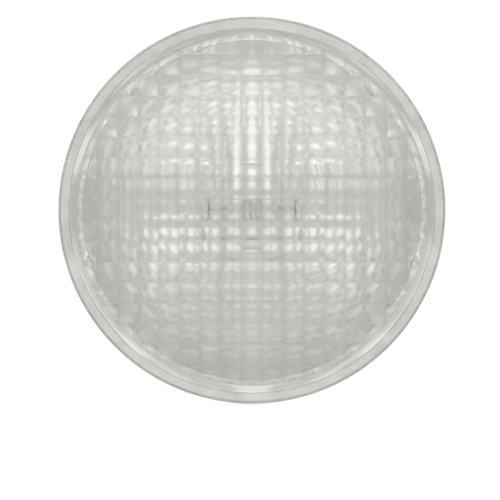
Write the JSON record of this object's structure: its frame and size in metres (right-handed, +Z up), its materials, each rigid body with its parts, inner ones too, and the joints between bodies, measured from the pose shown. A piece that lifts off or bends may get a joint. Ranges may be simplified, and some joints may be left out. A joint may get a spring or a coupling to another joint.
{
  "type": "underwater pool light",
  "caption": "Round sealed-beam underwater pool light: domed fluted glass lens fused to a mirrored glass reflector, with a capsule source inside and screw terminals behind.",
  "frame": {"origin": "centre of the rim seat plane, the flat ring behind the rim, on the optical axis", "axes": "+Y along the optical axis towards the terminals, so the lens faces -Y; +X to the right seen from the front, through both terminals; +Z up"},
  "size_m": [0.1206, 0.0575, 0.1206],
  "materials": {
    "lens_glass": "clear pressed glass, faint green tint",
    "seal_glass": "fused sealing glass, cloudy",
    "bowl_glass": "pressed glass, fire polished",
    "mirror_film": "evaporated aluminium",
    "tube_glass": "clear drawn tube",
    "shield_metal": "polished sheet",
    "quartz": "clear fused quartz",
    "tungsten": "drawn tungsten wire, grey",
    "foil_metal": "thin molybdenum foil",
    "wire_metal": "drawn nickel wire",
    "ferrule_metal": "nickel-iron, slightly oxidised",
    "braze": "flowed braze",
    "terminal_brass": "turned brass",
    "washer_metal": "nickel plated brass, stamped",
    "screw_metal": "turned brass screw"
  },
  "bodies": {
    "lamp": {"front_lens": "lens_glass", "rim_seal": "seal_glass", "reflector_bowl": "bowl_glass", "mirror_coating": "mirror_film", "exhaust_tip": "tube_glass", "heat_shield": "shield_metal", "halogen_capsule": "quartz", "filament": "tungsten", "foil_left": "foil_metal", "capsule_pin_left": "wire_metal", "lead_wire_left": "wire_metal", "ferrule_left": "ferrule_metal", "braze_ring_left": "braze", "terminal_post_left": "terminal_brass", "foil_right": "foil_metal", "capsule_pin_right": "wire_metal", "lead_wire_right": "wire_metal", "ferrule_right": "ferrule_metal", "braze_ring_right": "braze", "terminal_post_right": "terminal_brass"},
    "washer_left": {"terminal_washer_left": "washer_metal"},
    "washer_right": {"terminal_washer_right": "washer_metal"},
    "screw_left": {"terminal_screw_left": "screw_metal"},
    "screw_right": {"terminal_screw_right": "screw_metal"}
  },
  "joints": [
    {"name": "washer_left_out", "type": "slide", "parent": "lamp", "child": "washer_left", "axis": [0, 1, 0], "range_m": [0, 0.003]},
    {"name": "screw_left_turn", "type": "hinge", "parent": "washer_left", "child": "screw_left", "pos_m": [-0.0096, 0.03577, 0], "axis": [0, 1, 0], "range_deg": [0, 1543]},
    {"name": "washer_right_out", "type": "slide", "parent": "lamp", "child": "washer_right", "axis": [0, 1, 0], "range_m": [0, 0.003]},
    {"name": "screw_right_turn", "type": "hinge", "parent": "washer_right", "child": "screw_right", "pos_m": [0.0096, 0.03577, 0], "axis": [0, 1, 0], "range_deg": [0, 1543]}
  ],
  "couplings": [
    {"joint": "screw_left_turn", "follows": "washer_left_out", "rad_per_m": 8976},
    {"joint": "screw_right_turn", "follows": "washer_right_out", "rad_per_m": 8976}
  ]
}
